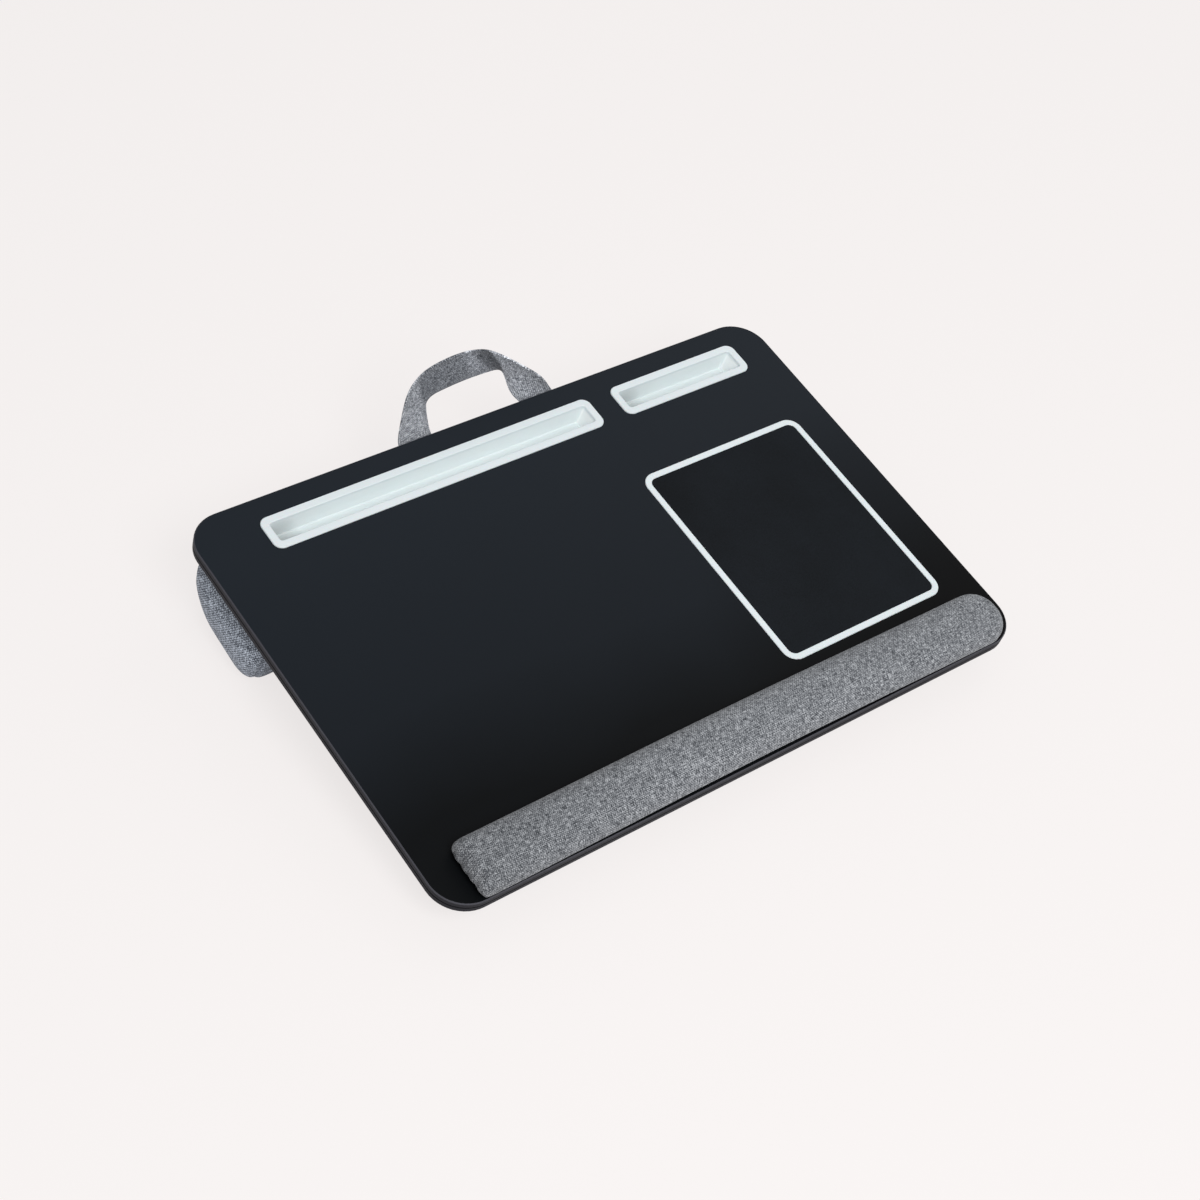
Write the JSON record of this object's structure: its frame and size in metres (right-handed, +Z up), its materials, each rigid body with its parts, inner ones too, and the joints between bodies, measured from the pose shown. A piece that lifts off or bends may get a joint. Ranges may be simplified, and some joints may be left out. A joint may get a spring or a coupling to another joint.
{
  "type": "lap tray",
  "caption": "Cushioned lap tray: tilted black deck with slots for a tablet and a phone, a mouse mat, a padded wrist rest and a carry strap.",
  "frame": {"origin": "on the floor under the middle of the bounding box", "axes": "+X along the deck's long side to the user's right, +Y to the rear, away from the user, +Z up"},
  "size_m": [0.56, 0.4196, 0.1207],
  "materials": {
    "deck_laminate": "satin black laminate with a faint leather-like grain",
    "deck_edge": "charcoal lacquered board edge",
    "white_plastic": "satin cool white moulding",
    "mat_surface": "matte black fine-grained mat",
    "grey_woven": "heathered grey woven cloth",
    "foam": "open-cell foam",
    "adhesive": "bonding strip",
    "lining_cloth": "black non-woven lining",
    "filling": "loose polyester filling",
    "strap_woven": "heathered grey woven strap"
  },
  "bodies": {
    "tray": {"deck_top_panel": "deck_laminate", "deck_base_panel": "deck_edge", "tablet_slot_tray": "white_plastic", "phone_slot_tray": "white_plastic", "mouse_mat_rim": "white_plastic", "mouse_mat": "mat_surface", "wrist_rest_cover": "grey_woven", "wrist_rest_foam": "foam", "wrist_rest_adhesive": "adhesive", "underside_lining": "lining_cloth", "rear_cushion_cover": "grey_woven", "rear_cushion_filling": "filling", "front_cushion_cover": "grey_woven", "front_cushion_filling": "filling", "strap_tab_left": "strap_woven", "strap_tab_right": "strap_woven"},
    "strap": {"carry_strap": "strap_woven"}
  },
  "joints": [
    {"name": "strap_swing", "type": "hinge", "parent": "tray", "child": "strap", "pos_m": [0, 0.1685, 0.07533], "axis": [1, 0, 0], "range_deg": [-75, 40]}
  ]
}
